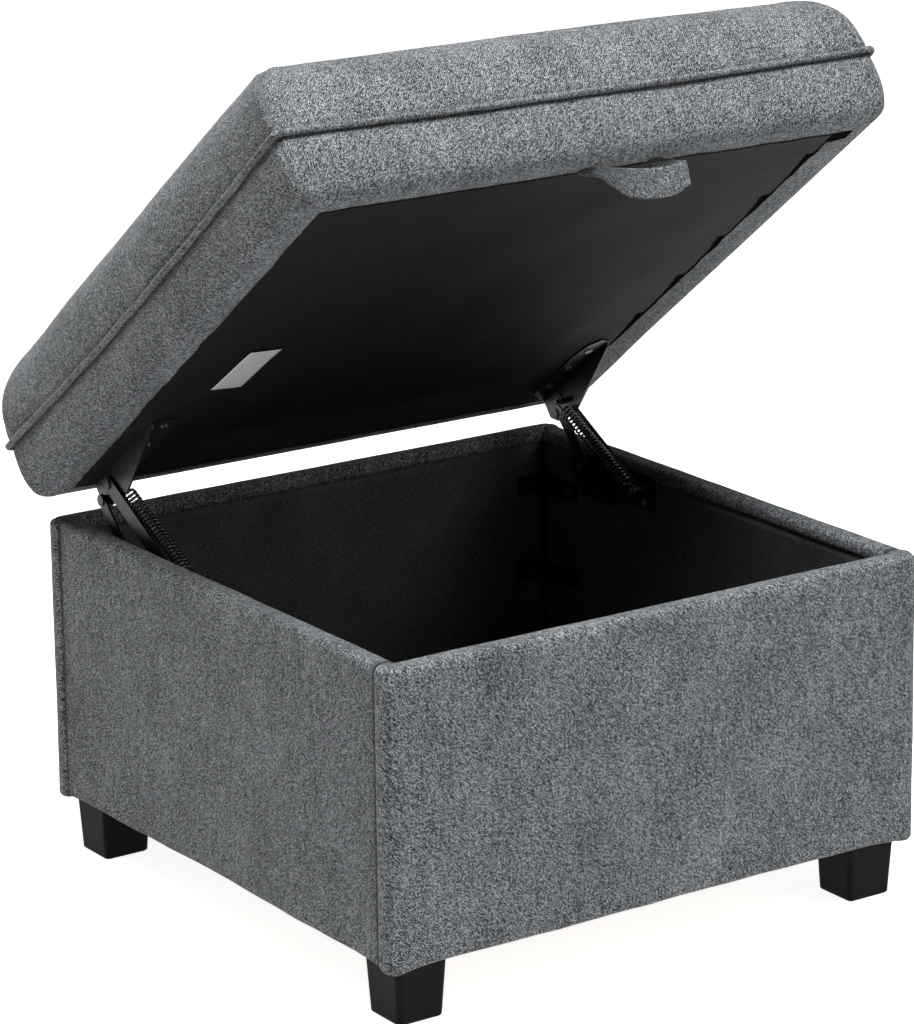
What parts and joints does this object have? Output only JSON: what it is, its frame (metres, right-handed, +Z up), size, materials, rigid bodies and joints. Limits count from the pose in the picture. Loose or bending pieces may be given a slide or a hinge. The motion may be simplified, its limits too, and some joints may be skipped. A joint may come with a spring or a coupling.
{
  "type": "storage ottoman",
  "caption": "Square upholstered storage ottoman with a piped cushion lid raised on spring-assisted four-bar hinges and short square legs.",
  "frame": {"origin": "on the floor, midway across the width, and midway between the box's front face and the rearmost point of the raised lid", "axes": "+X to the ottoman's right seen from its front, +Y to its back, +Z up"},
  "size_m": [0.6284, 0.605, 0.7912],
  "materials": {
    "upholstery": "grey chenille-look woven upholstery",
    "black_lining": "matt black non-woven lining",
    "white_tag": "blank white woven tag",
    "foam": "seat foam",
    "board": "plain board",
    "leg_plastic": "satin black plastic",
    "black_steel": "satin black steel",
    "bright_steel": "zinc-plated steel"
  },
  "bodies": {
    "base": {"front_panel": "board", "front_cover": "upholstery", "front_lining": "black_lining", "back_panel": "board", "back_cover": "upholstery", "back_lining": "black_lining", "left_panel": "board", "left_cover": "upholstery", "left_lining": "black_lining", "right_panel": "board", "right_cover": "upholstery", "right_lining": "black_lining", "leg_front_left": "leg_plastic", "leg_front_right": "leg_plastic", "leg_back_left": "leg_plastic", "leg_back_right": "leg_plastic", "leg_bolts": "bright_steel", "leg_tee_nuts": "bright_steel", "floor_board": "board", "floor_lining": "black_lining", "corner_angles": "black_steel", "corner_bolts": "bright_steel", "floor_angles": "black_steel", "floor_screws": "bright_steel", "left_hinge_plate": "black_steel", "right_hinge_plate": "black_steel", "hinge_plate_screws": "bright_steel", "hinge_base_rivets": "bright_steel", "spring_base_pins": "bright_steel"},
    "lid": {"lid_board": "board", "lid_foam": "foam", "lid_top_cover": "upholstery", "lid_side_band": "upholstery", "lid_dust_cover": "black_lining", "lid_blank_tag": "white_tag", "lid_pull_loop": "upholstery", "left_lid_bracket": "black_steel", "right_lid_bracket": "black_steel", "lid_bracket_screws": "bright_steel", "lid_welt": "upholstery", "hinge_lid_rivets": "bright_steel", "spring_lid_pins": "bright_steel"},
    "left_main_arm": {"left_main_arm": "black_steel"},
    "left_rear_arm": {"left_rear_arm": "black_steel"},
    "left_spring": {"left_spring": "black_steel"},
    "right_main_arm": {"right_main_arm": "black_steel"},
    "right_rear_arm": {"right_rear_arm": "black_steel"},
    "right_spring": {"right_spring": "black_steel"}
  },
  "joints": [
    {"name": "lid_tilt", "type": "hinge", "parent": "left_main_arm", "child": "lid", "pos_m": [-0.25355, 0.19477, 0.36197], "axis": [1, 0, 0], "range_deg": [0, 60.6], "stiffness_Nm_per_rad": 45, "springref_deg": -19.48},
    {"name": "left_main_lift", "type": "hinge", "parent": "base", "child": "left_main_arm", "pos_m": [-0.25355, 0.07831, 0.29671], "axis": [1, 0, 0], "range_deg": [-22.92, 0]},
    {"name": "left_rear_lift", "type": "hinge", "parent": "base", "child": "left_rear_arm", "pos_m": [-0.2563, 0.13571, 0.27753], "axis": [1, 0, 0], "range_deg": [-30.05, 0]},
    {"name": "left_spring_swing", "type": "hinge", "parent": "base", "child": "left_spring", "pos_m": [-0.243, 0.06699, 0.3005], "axis": [1, 0, 0], "range_deg": [-24.55, 0], "deforming": ["left_spring"]},
    {"name": "right_main_lift", "type": "hinge", "parent": "base", "child": "right_main_arm", "pos_m": [0.25355, 0.07831, 0.29671], "axis": [1, 0, 0], "range_deg": [-22.92, 0]},
    {"name": "right_rear_lift", "type": "hinge", "parent": "base", "child": "right_rear_arm", "pos_m": [0.2563, 0.13571, 0.27753], "axis": [1, 0, 0], "range_deg": [-30.05, 0]},
    {"name": "right_spring_swing", "type": "hinge", "parent": "base", "child": "right_spring", "pos_m": [0.243, 0.06699, 0.3005], "axis": [1, 0, 0], "range_deg": [-24.55, 0], "deforming": ["right_spring"]}
  ],
  "couplings": [
    {"joint": "left_main_lift", "follows": "lid_tilt", "ratio": -0.37794},
    {"joint": "left_rear_lift", "follows": "lid_tilt", "ratio": -0.49544},
    {"joint": "left_spring_swing", "follows": "lid_tilt", "ratio": -0.40477},
    {"joint": "right_main_lift", "follows": "lid_tilt", "ratio": -0.37794},
    {"joint": "right_rear_lift", "follows": "lid_tilt", "ratio": -0.49544},
    {"joint": "right_spring_swing", "follows": "lid_tilt", "ratio": -0.40477}
  ]
}
